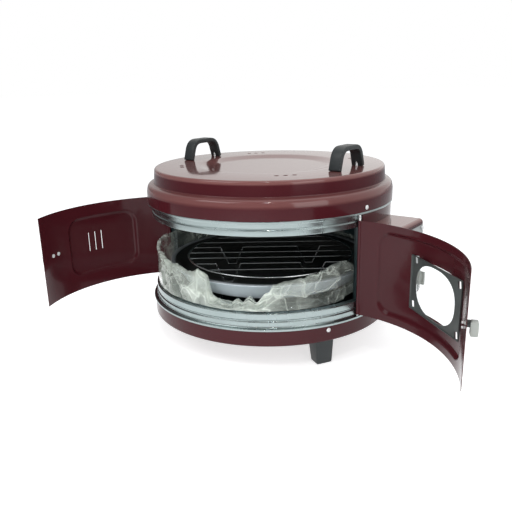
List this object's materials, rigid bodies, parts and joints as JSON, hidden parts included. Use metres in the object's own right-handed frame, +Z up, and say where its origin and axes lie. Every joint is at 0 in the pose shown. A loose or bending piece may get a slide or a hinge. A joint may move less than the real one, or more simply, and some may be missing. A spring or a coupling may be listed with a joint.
{
  "type": "electric tandoor oven",
  "caption": "Round drum oven on feet with curved double doors, a window, a stepped lid with strap handles, heating rings, a tray with a wire rack and a side control box.",
  "frame": {"origin": "on the drum's axis at floor level", "axes": "+X towards the control box, -Y towards the doors, +Z up"},
  "size_m": [0.7555, 0.5621, 0.359],
  "materials": {
    "burgundy_enamel": "gloss enamel",
    "trim_aluminium": "bright rolled aluminium",
    "black_moulding": "moulded bakelite",
    "liner_enamel": "dark enamel",
    "zinc_steel": "zinc plated",
    "element_sheath": "heat darkened steel",
    "chrome_wire": "plated wire",
    "tray_aluminium": "pressed aluminium",
    "window_glass": "clear tempered glass",
    "frame_steel": "dark grey steel",
    "grey_plastic": "light grey moulding",
    "panel_grey": "satin grey faceplate",
    "module_ceramic": "unglazed ceramic",
    "module_plastic": "moulded case",
    "lamp_red": "clear red lens",
    "packing_film": "thin clear film"
  },
  "bodies": {
    "oven": {"front_left_foot": "black_moulding", "front_right_foot": "black_moulding", "rear_foot": "black_moulding", "base_pan": "burgundy_enamel", "foot_screws": "zinc_steel", "lower_trim_ring": "trim_aluminium", "upper_trim_ring": "trim_aluminium", "right_hinge_rod": "zinc_steel", "left_hinge_rod": "zinc_steel", "rear_shell": "burgundy_enamel", "inner_liner": "liner_enamel", "right_jamb": "liner_enamel", "left_jamb": "liner_enamel", "lid": "burgundy_enamel", "lid_rim_screws": "zinc_steel", "band_screws": "zinc_steel", "right_lid_handle": "black_moulding", "left_lid_handle": "black_moulding", "lid_handle_screws": "zinc_steel", "control_panel": "panel_grey", "panel_screws": "zinc_steel", "control_box": "burgundy_enamel", "thermostat_body": "module_plastic", "selector_switch": "module_plastic", "thermostat_probe": "zinc_steel", "indicator_lamp": "lamp_red", "terminal_block": "module_ceramic", "cable_gland": "black_moulding", "floor_pan": "liner_enamel", "upper_reflector": "liner_enamel", "lower_heating_element": "element_sheath", "upper_heating_element": "element_sheath", "lower_element_posts": "zinc_steel", "upper_element_clips": "zinc_steel", "tray_stand": "chrome_wire"},
    "right_door": {"right_door": "burgundy_enamel", "window_glass": "window_glass", "window_frame": "frame_steel", "latch_neck": "black_moulding", "latch_screws": "zinc_steel"},
    "latch": {"latch_button": "grey_plastic"},
    "left_door": {"left_door": "burgundy_enamel", "latch_keeper": "frame_steel", "keeper_rivets": "zinc_steel"},
    "thermostat_dial": {"thermostat_knob": "grey_plastic", "thermostat_spindle": "zinc_steel"},
    "selector_dial": {"selector_knob": "grey_plastic", "selector_spindle": "zinc_steel"},
    "tray": {"baking_tray": "tray_aluminium", "tray_film": "packing_film"},
    "rack": {"wire_rack": "chrome_wire"}
  },
  "joints": [
    {"name": "right_door_swing", "type": "hinge", "parent": "oven", "child": "right_door", "pos_m": [0.22026, -0.05492, 0.166], "axis": [0, 0, 1], "range_deg": [-107, 0]},
    {"name": "left_door_swing", "type": "hinge", "parent": "oven", "child": "left_door", "pos_m": [-0.22026, -0.05492, 0.166], "axis": [0, 0, -1], "range_deg": [-61, 44]},
    {"name": "latch_turn", "type": "hinge", "parent": "right_door", "child": "latch", "pos_m": [0.44227, -0.19841, 0.167], "axis": [-0.9298, -0.3681, 0], "range_deg": [0, 90]},
    {"name": "thermostat_turn", "type": "hinge", "parent": "oven", "child": "thermostat_dial", "pos_m": [0.295, 0.008, 0.197], "axis": [-1, 0, 0], "range_deg": [0, 270]},
    {"name": "selector_turn", "type": "hinge", "parent": "oven", "child": "selector_dial", "pos_m": [0.295, 0.008, 0.143], "axis": [-1, 0, 0], "range_deg": [0, 270]},
    {"name": "tray_lift", "type": "slide", "parent": "oven", "child": "tray", "axis": [0, 0, 1], "range_m": [0, 0.03]},
    {"name": "rack_lift", "type": "slide", "parent": "tray", "child": "rack", "axis": [0, 0, 1], "range_m": [0, 0.045]}
  ]
}
